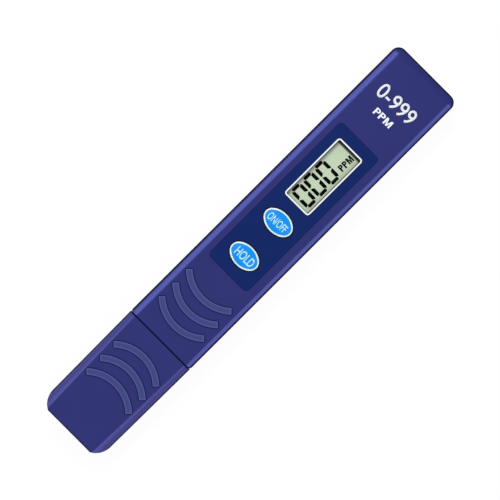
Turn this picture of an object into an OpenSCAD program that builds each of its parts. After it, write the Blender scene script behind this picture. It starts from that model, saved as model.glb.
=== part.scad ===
// Pen-type water meter: a drafted cap over a rectangular probe neck, a two-shell
// housing with an overlay, a reflective display and two oval keys.
// Millimetres. X runs from the cap (-) to the top end (+), Y across, Z out of the front face.
// The origin is the middle of the resting box, on the flat back face.

/* [Housing] */
// Length from the cap seam to the top end
body_l = 113.3; // [100:0.1:135]
// Width over the sides
body_w = 25; // [23.4:0.1:30]
// Thickness from the back face to the front face
body_h = 14; // [13:0.1:17]
// Radius of the long outer edges and of the top end's edge
edge_r = 2.2; // [1.2:0.05:2.6]
// Radius of the top end's corners seen from the front
corner_r = 2.7; // [2.65:0.05:5]
// Radius of the corners at the cap seam seen from the front
seam_corner_r = 0.8; // [0.3:0.05:1.2]
// Thickness of the side walls and of the shoulder wall
side_t = 1.7; // [1.4:0.05:2.1]
// Thickness of the front wall and of the back wall
face_t = 2; // [1.7:0.05:2.4]
// Height of the interlocking lip between the shells
lip_h = 0.8; // [0.5:0.05:1]
// Gap seen between the two shells
parting_gap = 0.12; // [0.05:0.01:0.2]

/* [Cap] */
// Length of the cap
cap_l = 38.5; // [35:0.1:46]
// Wall of the cap around the neck
cap_t = 2; // [1.6:0.05:2.4]
// Thickness of the cap's closed end
cap_end_t = 2.2; // [1.6:0.05:3]
// Radius of the cap's closed corners seen from the front
cap_corner_r = 6; // [5:0.1:7.2]
// Share of that radius left before the flat end cuts it off
cap_corner_cut = 0.9; // [0.75:0.01:1]
// Radius of the cap's long edges
cap_edge_r = 3.95; // [3.3:0.05:4.7]
// Height cut off the crown of those edges at the mouth, which leaves a crease
cap_crown = 0.46; // [0.4:0.01:0.6]
// Draft of each side towards the closed end, in degrees
cap_draft = 0.5; // [0.2:0.05:0.7]
// Draft of the crowned edges towards the closed end, in degrees
cap_crown_draft = 0.44; // [0.2:0.02:0.5]
// Gap between the cap's mouth and the housing
seam_gap = 0.2; // [0.1:0.01:0.3]
// Running gap between the cap's bore and the neck
cap_fit = 0.15; // [0.12:0.01:0.25]

/* [Grip arcs] */
// Radius of an arc's middle line
arc_r = 13; // [10.8:0.1:15.5]
// Width of an arc
arc_w = 2; // [1.6:0.05:2.4]
// Height of an arc above the face
arc_h = 0.25; // [0.15:0.01:0.4]
// Distance from one arc to the next
arc_pitch = 5.77; // [4.8:0.01:6.9]
// Number of arcs wanted on each side of the seam
arc_count = 3; // [1:1:4]
// Flat face left between the arcs and the long edges
arc_margin = 0.65; // [0.5:0.05:0.9]
// Distance from the seam to the first arc on the housing
arc_start = 5; // [4:0.1:6]
// Distance from the cap's mouth to the first arc on the cap
cap_arc_start = 6; // [5:0.1:7.2]

/* [Display] */
// Length of the display window
view_l = 22.6; // [19:0.1:27]
// Width of the display window
view_w = 9; // [7.5:0.1:10]
// Width of the frame line around the window
border_w = 0.7; // [0.5:0.05:0.9]
// Thickness of the clear lens
lens_t = 0.9; // [0.7:0.05:1.1]
// Ledge that carries the lens on every side
lens_ledge = 0.9; // [0.7:0.05:1.1]
// Glass beyond the window at each end
glass_margin = 1.2; // [1:0.05:1.45]
// Glass beyond the window on each long side, where the contacts are
contact_margin = 1.6; // [1.3:0.05:1.9]
// Thickness of one sheet of display glass
glass_t = 0.7; // [0.55:0.05:0.85]
// Thickness of one polarising film
film_t = 0.2; // [0.15:0.01:0.25]
// Width of a contact strip
strip_w = 1.3; // [1.1:0.05:1.5]
// Wall of the display carrier
carrier_t = 0.6; // [0.5:0.05:0.72]

/* [Overlay] */
// Thickness of the overlay film
overlay_t = 0.3; // [0.24:0.01:0.36]
// Depth of the recess that holds it
overlay_recess = 0.35; // [0.3:0.01:0.42]
// Radius of the overlay's corners
overlay_r = 1.5; // [1:0.1:3]
// Overlay beyond the frame line and the keys, along the pen
overlay_pad = 3.6; // [2.6:0.1:4.4]
// Overlay beyond the frame line, across the pen
overlay_side = 3; // [2.4:0.1:3.2]

/* [Keys] */
// Size of an oval key along the pen
key_l = 7.2; // [6:0.1:8.6]
// Size of an oval key across the pen
key_w = 10.5; // [8.8:0.1:12.4]
// White rim around the coloured inlay
key_rim = 0.55; // [0.45:0.01:0.75]
// Gap between the two keys
key_gap = 7.1; // [5.9:0.1:8.4]
// Height of a key's crown above the front face
key_proud = 0.6; // [0.5:0.05:0.8]
// Radius of the domed key tops
key_dome_r = 30; // [25:1:36]
// Gap around a key in its hole
key_fit = 0.15; // [0.1:0.01:0.2]
// Travel of a key
key_travel = 0.5; // [0.4:0.05:0.6]
// Flange that keeps a key in the shell
key_flange = 0.8; // [0.6:0.05:1]
// Thickness of that flange
key_flange_t = 0.8; // [0.6:0.05:0.95]
// Depth of the coloured inlay
inlay_t = 0.7; // [0.55:0.05:0.85]

/* [Circuit board] */
// Thickness of the board
board_t = 1; // [0.8:0.05:1.2]
// Height of the contact strips between the board and the glass
strip_h = 3.5; // [3:0.05:4.1]
// Gap around the board in the housing
board_fit = 0.4; // [0.3:0.05:0.5]
// Radius of the posts that clamp the board
post_r = 1; // [0.85:0.05:1.15]
// Radius of the locating pegs through the board
peg_r = 0.5; // [0.4:0.05:0.6]
// Length and width of a switch base
switch_l = 3.6; // [3:0.1:4.2]
switch_w = 6; // [5:0.1:7]
// Height of a switch base
switch_h = 2; // [1.7:0.1:2.3]
// Radius of a switch plunger
plunger_r = 1.2; // [1:0.05:1.4]
// Height of a switch plunger
plunger_h = 1; // [0.9:0.05:1.1]
// Radius and height of the moulded chip under the display
blob_r = 4; // [3.4:0.1:4.6]
blob_h = 1.3; // [1.1:0.1:1.5]
// Length, width and height of the amplifier chip
chip_l = 4.9; // [4.2:0.1:5.6]
chip_w = 3.9; // [3.3:0.1:4.5]
chip_h = 1.4; // [1.2:0.1:1.6]
// Distance between the amplifier's legs
chip_pitch = 1.27; // [1.1:0.01:1.4]
// Width and thickness of a leg
chip_leg_w = 0.4; // [0.3:0.05:0.5]
chip_leg_t = 0.25; // [0.2:0.05:0.3]
// Reach of a leg beside the chip
chip_leg_l = 1; // [0.8:0.1:1.2]
// Length, width and height of a small passive
passive_l = 2; // [1.6:0.1:2.4]
passive_w = 1.2; // [1:0.1:1.4]
passive_h = 0.6; // [0.5:0.05:0.7]
// Distance between two passives
passive_pitch = 3.2; // [2.8:0.1:3.6]
// Side of the stem under a key
stem_w = 4; // [3.4:0.1:4.8]

/* [Battery bay] */
// Diameter of a button cell
cell_d = 11.6; // [9.6:0.1:13.8]
// Height of a button cell
cell_h = 5.4; // [4.4:0.1:5.8]
// Gap around a cell
cell_fit = 0.2; // [0.15:0.01:0.3]
// Room above a cell for its contact
contact_room = 0.5; // [0.4:0.05:0.6]
// Thickness of contact metal
contact_t = 0.25; // [0.2:0.01:0.3]
// Width of a contact plate
contact_w = 4; // [3.4:0.1:4.6]
// Width of the tab that takes a contact to the board
tab_w = 2; // [1.6:0.1:2.4]
// Walls of the bay
bay_t = 1; // [0.8:0.05:1.2]
// Wall between the bay and the top end
bay_end_t = 1.8; // [1.5:0.05:2.1]
// Thickness of the battery door
door_t = 1.5; // [1.25:0.05:1.6]
// Width of the battery door
door_w = 17; // [15:0.1:18]
// Reach of the door's rails into the housing
rail_w = 0.9; // [0.75:0.05:1.05]
// Thickness of the door's rails
rail_t = 0.7; // [0.6:0.05:0.75]
// Floor left above the door's rails
rail_floor_t = 1; // [0.8:0.05:1.2]
// Gap around the door
door_fit = 0.15; // [0.1:0.01:0.2]
// Depth of the finger grooves in the door
groove_d = 0.4; // [0.3:0.05:0.5]
// Length of the finger grooves
groove_l = 10; // [8:0.1:12]
// Distance from one finger groove to the next
groove_pitch = 1.8; // [1.5:0.1:2.2]

/* [Screws and bosses] */
// Radius of a screw's shank
screw_r = 0.85; // [0.7:0.05:1]
// Front shell left between a screw's tip and the inside of the front wall
screw_tip_gap = 1.6; // [1.4:0.1:1.9]
// Radius of a screw's head
head_r = 1.5; // [1.3:0.05:1.6]
// Height of a screw's head
head_h = 1.1; // [0.9:0.05:1.3]
// Wall of a boss around its screw
boss_t = 1.25; // [1.1:0.05:1.45]
// Thickness of the ribs that tie the side bosses to the walls
rib_t = 1; // [0.8:0.05:1.2]

/* [Probe] */
// Length of the neck outside the housing
neck_l = 31.5; // [28:0.1:33.5]
// Radius of the neck's long edges
neck_r = 1.2; // [0.9:0.05:1.5]
// Radius of the neck's tip corners seen from the front
neck_tip_r = 2; // [1.5:0.1:2.4]
// Wall of the guard around the electrodes
guard_t = 1.5; // [1.2:0.05:1.8]
// Depth of the open guard
guard_d = 9; // [7.6:0.1:10.5]
// Width of the notch in the guard's front and back
notch_w = 11; // [9.2:0.1:13]
// Depth of that notch
notch_d = 6.5; // [5.4:0.1:7.4]
// Radius of the notch's inner corners
notch_r = 1.6; // [1.2:0.1:2]
// Thickness of the web that carries the electrodes
web_t = 2; // [1.6:0.1:2.4]
// Length of the sealing compound behind the web
potting_l = 5; // [4:0.1:6]
// Width of the channel for the leads
channel_w = 15; // [12.6:0.1:16]
// Height of the channel for the leads
channel_h = 5.3; // [4.4:0.1:5.8]
// Depth of the waist that the shoulder wall grips
waist_d = 0.9; // [0.7:0.05:1.05]
// Length of the collar inside the shoulder wall
collar_l = 1.6; // [1.3:0.05:1.9]
// Radius of an electrode
pin_r = 0.6; // [0.5:0.05:0.7]
// Distance between the electrodes
pin_pitch = 7; // [5.9:0.1:8.2]
// Electrode beyond the web
pin_out = 7.4; // [6.2:0.1:7.6]
// Electrode behind the sealing compound
pin_tail = 2; // [1.6:0.1:2.4]
// Radius of an insulated lead
lead_r = 0.45; // [0.4:0.01:0.5]
// Length over which a lead comes down to the board
lead_bend = 6; // [5:0.1:7]

/* [Calibration] */
// Radius of the calibration port in the back
port_r = 1.5; // [1.3:0.05:1.7]
// Wall of the guide tube around the port
port_t = 0.9; // [0.7:0.05:1.1]
// Distance from the trimmer to the power key
trimmer_off = 7.2; // [6:0.1:8]
// Side of the square trimmer
trimmer_w = 4.4; // [4:0.1:5.2]
// Height of the trimmer's base
trimmer_h = 1.6; // [1.3:0.1:1.9]
// Radius of the trimmer's rotor
rotor_r = 1.35; // [1.15:0.05:1.55]
// Height of the trimmer's rotor
rotor_h = 0.9; // [0.75:0.05:1.05]

/* [Hidden] */
$fn = 96;
slack = 0.1;
wall_gap = 0.15;
over = 1;
slot_w = 0.4;

// Lengthwise places
total_l = cap_l + seam_gap + body_l;
end_x = total_l / 2;
seam_x = end_x - body_l;
mouth_x = seam_x - seam_gap;
cap_tip_x = -end_x;
half_w = body_w / 2;
mid_z = body_h / 2;
split_z = mid_z;

// Inside of the housing
inner_w = body_w - 2 * side_t;
front_in_z = body_h - face_t;
cavity_x0 = seam_x + side_t;
cavity_x1 = end_x - bay_end_t;

// Battery bay, which fixes the places of everything in front of it
bay_x1 = cavity_x1;
bay_l = 2 * cell_d + 4 * cell_fit;
bay_w = cell_d + 2 * cell_fit;
bay_x0 = bay_x1 - bay_l;
bay_top_z = door_t + slack + contact_t + cell_h + contact_room;
cell_z = door_t + slack + contact_t;
cell_xs = [bay_x0 + bay_l / 4, bay_x1 - bay_l / 4];
door_lap = 0.5;
door_x0 = bay_x0 - door_lap;
plate_z = bay_top_z - contact_t;
contact_y = (bay_w - contact_w) / 2 - slack;
bridge_w = contact_w + 1;

// Screws
boss_r = screw_r + boss_t;
pilot_r = screw_r;
counterbore_r = head_r + wall_gap;
counterbore_d = face_t - slack;
boss_sink = 0.3;
top_boss_x = bay_x0 - bay_t - boss_r + boss_sink;
neck_boss_x = cavity_x0 + slack + collar_l + boss_r + boss_t;
neck_boss_y = inner_w / 2 - boss_r - wall_gap;
screw_places = [[top_boss_x, 0], [neck_boss_x, neck_boss_y], [neck_boss_x, -neck_boss_y]];
boss_split_z = split_z;
screw_l = front_in_z - screw_tip_gap - counterbore_d;

// Display
glass_l = view_l + 2 * glass_margin;
glass_w = view_w + 2 * contact_margin;
glass_x1 = top_boss_x - boss_r - 2 * wall_gap - carrier_t - 2 * slack;
view_x = glass_x1 - glass_l / 2;
view_r = 0.4;
film_z = front_in_z - slack - film_t;
glass_z = film_z - glass_t;
rear_glass_z = glass_z - glass_t;
reflector_z = rear_glass_z - film_t;
border_l = view_l + 2 * border_w;
carrier_l = glass_l + 2 * (carrier_t + slack);
carrier_w = glass_w + 2 * (carrier_t + slack);

// Keys
key_a = key_l / 2;
key_b = key_w / 2;
key_end_r = 0.73 * key_a;
key_side_r = (pow(key_a, 2) + pow(key_b - key_end_r, 2) - pow(key_end_r, 2)) / (2 * (key_a - key_end_r));
power_x = view_x - border_l / 2 - overlay_pad - key_a;
hold_x = power_x - key_l - key_gap;
flange_z = front_in_z - slack - key_flange_t;

// Overlay
overlay_x1 = view_x + border_l / 2 + overlay_pad;
overlay_x0 = hold_x - key_a - overlay_pad - 2 * slack;
overlay_l = overlay_x1 - overlay_x0;
overlay_x = (overlay_x0 + overlay_x1) / 2;
overlay_w = view_w + 2 * border_w + 2 * overlay_side;
overlay_gap = 0.08;
overlay_floor_z = body_h - overlay_recess;

// Circuit board
board_top_z = glass_z - strip_h;
board_z = board_top_z - board_t;
board_w = inner_w - 2 * board_fit;
board_edge = 0.6;
post_y = board_w / 2 - board_edge - post_r;
board_x1 = glass_x1 + slack + carrier_t;
near_post_x = hold_x - key_a - key_flange - board_edge - post_r;
far_post_x = (power_x + hold_x) / 2;
board_x0 = near_post_x - post_r - board_edge;
rest_x = board_x1 - post_r - board_edge;
passive_y = (blob_r + board_w / 2) / 2;
plunger_z = board_top_z + switch_h + key_travel + slack;
plunger_fit = 0.15;

// Probe
bore_w = body_w - 2 * cap_t;
bore_h = body_h - 2 * cap_t;
neck_w = bore_w - 2 * cap_fit;
neck_h = bore_h - 2 * cap_fit;
tip_x = seam_x - neck_l;
web_x = tip_x + guard_d;
channel_x = web_x + web_t;
pin_x1 = channel_x + potting_l + pin_tail;
pin_ys = [-pin_pitch / 2, pin_pitch / 2];
rib_gap = 0.05;
collar_x0 = cavity_x0 + slack;
collar_h = min(neck_h, body_h - 2 * face_t - 2 * slack);

// Grip arcs
cap_bevel = cap_edge_r * (1 - sqrt(1 - pow(1 - cap_crown / cap_edge_r, 2)));
cap_corner_x = cap_tip_x + cap_corner_cut * cap_corner_r;
cap_corner_y = half_w - (mouth_x - cap_corner_x) * tan(cap_draft) - cap_corner_r;
arc_reach = half_w - max(edge_r, cap_bevel) - arc_margin;
arc_angle = asin(min(0.95, arc_reach / (arc_r + arc_w / 2)));
arc_sagitta = (arc_r + arc_w / 2) * (1 - cos(arc_angle));
arc_room = overlay_x0 - seam_x - arc_start - arc_sagitta - 1.5 * arc_w;
body_arcs = max(0, min(arc_count, 1 + floor(arc_room / arc_pitch)));

// Calibration
trimmer_x = power_x - trimmer_off;
rotor_z = board_z - trimmer_h - rotor_h / 2;
port_gap = 0.5;
port_l = rotor_z - port_gap;

// Outlines

module round_rect(size_x, size_y, r) {
    square([size_x, size_y - 2 * r], center = true);
    square([size_x - 2 * r, size_y], center = true);
    for (x = [-1, 1], y = [-1, 1])
        translate([x * (size_x / 2 - r), y * (size_y / 2 - r)]) circle(r);
}

// Four-arc oval, grown outwards by the same amount everywhere
module key_oval(grow = 0) {
    side_off = key_side_r - key_a;
    end_off = key_b - key_end_r;
    meet_y = (key_side_r + grow) * end_off / (key_side_r - key_end_r);
    intersection() {
        translate([side_off, 0]) circle(key_side_r + grow);
        translate([-side_off, 0]) circle(key_side_r + grow);
        square([2 * key_b, 2 * meet_y], center = true);
    }
    for (y = [-end_off, end_off])
        translate([0, y]) circle(key_end_r + grow);
}

module grip_arc() {
    far = 2 * arc_r + arc_w;
    intersection() {
        difference() {
            circle(arc_r + arc_w / 2);
            circle(arc_r - arc_w / 2);
        }
        polygon([
            [0, 0],
            [far * cos(arc_angle), far * sin(arc_angle)],
            [far, 0],
            [far * cos(arc_angle), -far * sin(arc_angle)]
        ]);
    }
}

// An outline in Y and Z, drawn along X
module along_x(x0, x1) {
    translate([x0, 0, 0]) rotate([90, 0, 90]) linear_extrude(x1 - x0) children();
}

// An outline in X and Z, drawn along Y and centred on it
module along_y(width) {
    translate([0, width / 2, 0]) rotate([90, 0, 0]) linear_extrude(width) children();
}

// An outline in X and Y, drawn from z0 up to z1
module along_z(z0, z1) {
    translate([0, 0, z0]) linear_extrude(z1 - z0) children();
}

module block(x0, x1, width, z0, z1) {
    translate([x0, -width / 2, z0]) cube([x1 - x0, width, z1 - z0]);
}

// The same block with its middle at y
module block_at(x0, x1, y, width, z0, z1) {
    translate([0, y, 0]) block(x0, x1, width, z0, z1);
}

// Housing

module end_profile() {
    intersection() {
        union() {
            square([corner_r - edge_r, body_h]);
            translate([0, edge_r]) square([corner_r, body_h - 2 * edge_r]);
            for (z = [edge_r, body_h - edge_r])
                translate([corner_r - edge_r, z]) circle(edge_r);
        }
        square([corner_r, body_h]);
    }
}

module seam_corner_cuts() {
    for (y = [-1, 1]) scale([1, y, 1])
        along_z(-over, body_h + over)
            difference() {
                translate([seam_x - over, half_w - seam_corner_r])
                    square([over + seam_corner_r, seam_corner_r + over]);
                translate([seam_x + seam_corner_r, half_w - seam_corner_r]) circle(seam_corner_r);
            }
}

// Outer form of the closed housing, with rolled edges that turn the top corners
module housing_form() {
    corner_x = end_x - corner_r;
    corner_y = half_w - corner_r;
    difference() {
        union() {
            along_x(seam_x, corner_x)
                translate([0, mid_z]) round_rect(body_w, body_h, edge_r);
            translate([corner_x, 0, 0]) along_y(2 * corner_y) end_profile();
            translate([corner_x, corner_y, 0]) rotate_extrude(angle = 90) end_profile();
            translate([corner_x, -corner_y, 0]) rotate([0, 0, -90])
                rotate_extrude(angle = 90) end_profile();
        }
        seam_corner_cuts();
    }
}

module waist_form(gap) {
    along_x(seam_x - over, cavity_x0 + over)
        translate([0, mid_z])
            round_rect(neck_w - 2 * waist_d + 2 * gap, neck_h - 2 * waist_d + 2 * gap, neck_r);
}

// Lip of the back shell in plan, or with a gap the rebate that takes it
module lip_plan(gap) {
    inset = side_t / 2 - gap;
    lip_x0 = neck_boss_x - boss_r;
    lip_x1 = end_x - inset;
    difference() {
        translate([(lip_x0 + lip_x1) / 2, 0])
            square([lip_x1 - lip_x0 - 2 * corner_r, body_w - 2 * inset], center = true);
        translate([lip_x0 - over, -inner_w / 2]) square([total_l, inner_w]);
    }
}

module bosses(z0, z1) {
    for (place = screw_places)
        translate([place[0], place[1], z0]) cylinder(r = boss_r, h = z1 - z0);
}

// Ribs that tie the bosses at the neck to the side walls
module boss_ribs(z0, z1) {
    for (side = [-1, 1])
        block_at(neck_boss_x - rib_t / 2, neck_boss_x + rib_t / 2,
            side * (inner_w - boss_r) / 2, boss_r + slack, z0, z1);
}

module board_posts(z0, z1, r) {
    for (x = [near_post_x, far_post_x], y = [-post_y, post_y])
        translate([x, y, z0]) cylinder(r = r, h = z1 - z0);
}

module key_hole(x) {
    translate([x, 0, 0]) along_z(front_in_z - over, body_h + over) key_oval(key_fit);
}

module front_walls() {
    difference() {
        intersection() {
            housing_form();
            block(seam_x - over, end_x + over, body_w + over, split_z, body_h);
        }
        block(cavity_x0, cavity_x1, inner_w, split_z - over, front_in_z);
        waist_form(slack / 2);
        along_z(split_z - over, split_z + lip_h + slack) lip_plan(slack);
        translate([overlay_x, 0, 0])
            along_z(overlay_floor_z, body_h + over) round_rect(overlay_l, overlay_w, overlay_r);
        translate([view_x, 0, 0])
            along_z(overlay_floor_z - lens_t, body_h)
                round_rect(view_l + 2 * lens_ledge, view_w + 2 * lens_ledge, view_r + slack);
        translate([view_x, 0, 0]) along_z(front_in_z - over, body_h)
            round_rect(view_l, view_w, view_r);
        key_hole(power_x);
        key_hole(hold_x);
    }
}

module glass_ribs() {
    lip_t = 0.4;
    translate([view_x, 0, 0])
        along_z(glass_z + 2 * slack, front_in_z)
            difference() {
                square([carrier_l, carrier_w], center = true);
                square([carrier_l - 2 * lip_t, carrier_w - 2 * lip_t], center = true);
            }
}

module front_shell() {
    color("#333875") {
        difference() {
            union() {
                front_walls();
                glass_ribs();
                bosses(boss_split_z + slack, front_in_z);
                boss_ribs(split_z + lip_h + 2 * slack, front_in_z);
                board_posts(board_top_z, front_in_z, post_r);
            }
            for (place = screw_places)
                translate([place[0], place[1], boss_split_z - over])
                    cylinder(r = pilot_r, h = front_in_z - screw_tip_gap / 2 - boss_split_z + over);
            block(bay_x0 - bay_t - slack, cavity_x1, bay_w + 2 * (bay_t + slack),
                split_z - over, bay_top_z + bay_t + slack);
        }
        for (k = [0:1:body_arcs - 1])
            translate([seam_x + arc_start + arc_r + arc_w / 2 + k * arc_pitch, 0, 0])
                along_z(body_h - slack, body_h + arc_h) mirror([1, 0]) grip_arc();
    }
}

module back_walls() {
    difference() {
        intersection() {
            housing_form();
            block(seam_x - over, end_x + over, body_w + over, 0, split_z - parting_gap);
        }
        block(cavity_x0, cavity_x1, inner_w, face_t, split_z + over);
        waist_form(slack / 2);
    }
}

module bay_walls() {
    floor_z = door_t + slack + rail_floor_t;
    block(bay_x0 - bay_t, cavity_x1, bay_w + 2 * bay_t, face_t, bay_top_z + bay_t);
    block(bay_x0 - bay_t, cavity_x1, door_w + 2 * (rail_w + bay_t), face_t, floor_z);
}

// Space that the door and its rails need in the back shell
module door_space(gap) {
    block(door_x0 - gap, end_x + over, door_w + 2 * gap, -over, door_t + slack);
    block(door_x0 - gap, end_x + over, door_w + 2 * rail_w + 2 * gap,
        door_t - rail_t - gap, door_t + slack);
    block(bay_x0, end_x + over, bridge_w + 2 * gap, -over, cell_z);
}

module back_shell() {
    color("#2f346e") difference() {
        union() {
            back_walls();
            along_z(split_z - parting_gap - over, split_z + lip_h) lip_plan(0);
            bay_walls();
            bosses(face_t, boss_split_z);
            boss_ribs(face_t, split_z - parting_gap);
            board_posts(face_t, board_z, post_r);
            board_posts(board_z - slack, board_top_z - slack, peg_r);
            translate([rest_x, 0, face_t]) cylinder(r = post_r, h = board_z - face_t);
            translate([trimmer_x, 0, 0]) cylinder(r = port_r + port_t, h = port_l);
        }
        block(bay_x0, bay_x1, bay_w, -over, bay_top_z);
        door_space(door_fit);
        for (place = screw_places) translate([place[0], place[1], 0]) {
            translate([0, 0, -over]) cylinder(r = counterbore_r, h = counterbore_d + over);
            cylinder(r = screw_r + wall_gap, h = boss_split_z + over);
        }
        translate([trimmer_x, 0, -over]) cylinder(r = port_r, h = port_l + 2 * over);
        contact_slots();
    }
}

module case_screws() {
    color("silver") for (place = screw_places)
        translate([place[0], place[1], counterbore_d]) {
            cylinder(r = screw_r, h = screw_l);
            difference() {
                translate([0, 0, -head_h]) cylinder(r = head_r, h = head_h);
                for (a = [0, 90]) rotate([0, 0, a])
                    translate([-0.9 * screw_r, -slot_w / 2, -head_h - over])
                        cube([1.8 * screw_r, slot_w, over + head_h / 2]);
            }
        }
}

// Overlay and lens

module front_overlay() {
    color("#1c2c67") difference() {
        translate([overlay_x, 0, 0])
            along_z(overlay_floor_z, overlay_floor_z + overlay_t)
                round_rect(overlay_l - 2 * overlay_gap, overlay_w - 2 * overlay_gap,
                    overlay_r - overlay_gap);
        translate([view_x, 0, 0])
            along_z(overlay_floor_z - over, body_h) round_rect(view_l, view_w, view_r);
        key_hole(power_x);
        key_hole(hold_x);
    }
}

module display_lens() {
    color([0.85, 0.92, 0.95, 0.35]) translate([view_x, 0, 0])
        along_z(overlay_floor_z - lens_t, overlay_floor_z)
            round_rect(view_l + 2 * lens_ledge - slack, view_w + 2 * lens_ledge - slack,
                view_r + slack / 2);
}

// Display stack

module display_sheet(length, width, z, thick) {
    translate([view_x, 0, z + thick / 2]) cube([length, width, thick], center = true);
}

module display_front_film() {
    color("#c0d3b4") display_sheet(glass_l - 2 * slack, view_w + contact_margin, film_z, film_t);
}

module display_front_glass() {
    color("lightcyan") display_sheet(glass_l, glass_w, glass_z, glass_t);
}

module display_rear_glass() {
    color("lightcyan") display_sheet(glass_l, view_w + slack, rear_glass_z, glass_t);
}

module display_reflector() {
    color("#b9c6a8") display_sheet(glass_l - 2 * slack, view_w - slack, reflector_z, film_t);
}

module display_contact_strips() {
    strip_y = glass_w / 2 - strip_w / 2;
    color("salmon") for (y = [-strip_y, strip_y])
        translate([view_x, y, board_top_z + strip_h / 2])
            cube([view_l, strip_w, strip_h], center = true);
}

module display_carrier() {
    ledge_t = 0.5;
    color("white") {
        translate([view_x, 0, 0]) along_z(board_top_z, glass_z)
            difference() {
                square([carrier_l, carrier_w], center = true);
                square([glass_l + 2 * slack, glass_w + 2 * slack], center = true);
            }
        translate([view_x, 0, 0]) along_z(board_top_z, reflector_z)
            difference() {
                square([glass_l + 2 * slack, view_w - slack], center = true);
                square([glass_l - 2 * ledge_t, view_w - slack - 2 * ledge_t], center = true);
            }
    }
}

// Circuit board and what it carries

module circuit_board() {
    color("darkgreen") difference() {
        block(board_x0, board_x1, board_w, board_z, board_top_z);
        board_posts(board_z - over, board_top_z + over, peg_r + slack / 2);
    }
}

module chip_blob() {
    dome_r = (pow(blob_r, 2) + pow(blob_h, 2)) / (2 * blob_h);
    color("black") translate([view_x, 0, board_z]) intersection() {
        translate([0, 0, dome_r - blob_h]) sphere(dome_r);
        translate([0, 0, -blob_h]) cylinder(r = blob_r + over, h = blob_h);
    }
}

module amplifier_chip() {
    chip_x = (power_x + view_x - glass_l / 2) / 2;
    top_z = board_z - slack;
    leg_y = chip_w / 2 + chip_leg_l;
    color("dimgray") {
        block(chip_x - chip_l / 2, chip_x + chip_l / 2, chip_w, top_z - chip_h, top_z);
        for (k = [-1.5:1:1.5]) translate([chip_x + k * chip_pitch, 0, 0]) {
            block(-chip_leg_w / 2, chip_leg_w / 2, 2 * leg_y,
                top_z - chip_h / 2, top_z - chip_h / 2 + chip_leg_t);
            for (side = [-1, 1])
                block_at(-chip_leg_w / 2, chip_leg_w / 2, side * (leg_y - chip_leg_t / 2),
                    chip_leg_t, top_z - chip_h / 2, board_z);
        }
    }
}

module chip_passives() {
    color("tan") for (k = [-2:1:2], side = [-1, 1])
        translate([view_x + k * passive_pitch, 0, 0])
            block_at(-passive_l / 2, passive_l / 2, side * passive_y, passive_w,
                board_z - passive_h, board_z);
}

module switch_base(x) {
    color("black") difference() {
        translate([x, 0, board_top_z + switch_h / 2])
            cube([switch_l, switch_w, switch_h], center = true);
        translate([x, 0, plunger_z - plunger_h - key_travel - slack])
            cylinder(r = plunger_r + plunger_fit, h = switch_h);
    }
}

module switch_plunger(x) {
    color("white") translate([x, 0, plunger_z - plunger_h])
        cylinder(r = plunger_r, h = plunger_h);
}

module trimmer_base() {
    color("royalblue") difference() {
        translate([trimmer_x, 0, board_z - trimmer_h / 2])
            cube([trimmer_w, trimmer_w, trimmer_h], center = true);
        translate([trimmer_x, 0, board_z - trimmer_h - over])
            cylinder(r = rotor_r + slack, h = over + rotor_h / 2 + slack);
    }
}

module trimmer_rotor() {
    color("white") difference() {
        translate([trimmer_x, 0, rotor_z]) cylinder(r = rotor_r, h = rotor_h);
        translate([trimmer_x, 0, rotor_z])
            cube([1.6 * rotor_r, slot_w, rotor_h], center = true);
    }
}

// Keys

module key_dome(x) {
    translate([x, 0, body_h + key_proud - key_dome_r]) sphere(key_dome_r, $fn = 192);
}

module key_body(x) {
    color("white") intersection() {
        difference() {
            translate([x, 0, 0]) union() {
                along_z(flange_z, body_h + key_proud + over) key_oval();
                along_z(flange_z, flange_z + key_flange_t) key_oval(key_flange);
                along_z(plunger_z, flange_z) round_rect(stem_w, stem_w, stem_w / 8);
            }
            translate([x, 0, 0])
                along_z(body_h + key_proud - inlay_t, body_h + key_proud + 2 * over)
                    key_oval(-key_rim);
        }
        key_dome(x);
    }
}

module key_inlay(x) {
    color("#1e96f5") intersection() {
        translate([x, 0, 0])
            along_z(body_h + key_proud - inlay_t, body_h + key_proud + over) key_oval(-key_rim);
        key_dome(x);
    }
}

// Battery

module button_cell() {
    cap_r = 0.8 * cell_d / 2;
    rim_r = 0.4;
    step_h = 0.3;
    rotate_extrude() {
        translate([0, step_h]) square([cell_d / 2 - rim_r, cell_h - step_h]);
        translate([0, step_h + rim_r]) square([cell_d / 2, cell_h - step_h - 2 * rim_r]);
        for (z = [step_h + rim_r, cell_h - rim_r])
            translate([cell_d / 2 - rim_r, z]) circle(rim_r);
        square([cap_r, step_h + slack]);
    }
}

// One cell stands on its cap and the other on its can, so that they are in series
module button_cells() {
    color("silver") {
        translate([cell_xs[0], 0, cell_z]) button_cell();
        translate([cell_xs[1], 0, cell_z + cell_h]) mirror([0, 0, 1]) button_cell();
    }
}

module contact_slots() {
    for (side = [-1, 1])
        block_at(bay_x0 - bay_t - over, bay_x0 + over, side * contact_y, tab_w + 2 * slack,
            plate_z - slack, bay_top_z);
}

// Strip under the bay's roof with a bump that presses on one cell. Its tab leaves
// through the bay wall, bends down and ends in a foot soldered under the board.
module battery_contact(cell_x, side) {
    y = side * contact_y;
    riser_x = board_x1 + slack;
    foot_z = board_z - contact_t;
    color("gold") {
        block_at(bay_x0 + slack, cell_x + contact_w, y, contact_w, plate_z, bay_top_z);
        block_at(riser_x, bay_x0 + 2 * slack, y, tab_w, plate_z, bay_top_z);
        block_at(riser_x, riser_x + contact_t, y, tab_w,
            min(foot_z, plate_z), max(foot_z, plate_z) + contact_t);
        block_at(board_x1 - tab_w, riser_x + contact_t, y, tab_w, foot_z, board_z);
        translate([cell_x, y, plate_z]) rotate([90, 0, 0])
            cylinder(r = contact_room - contact_t, h = contact_w, center = true);
    }
}

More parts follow.
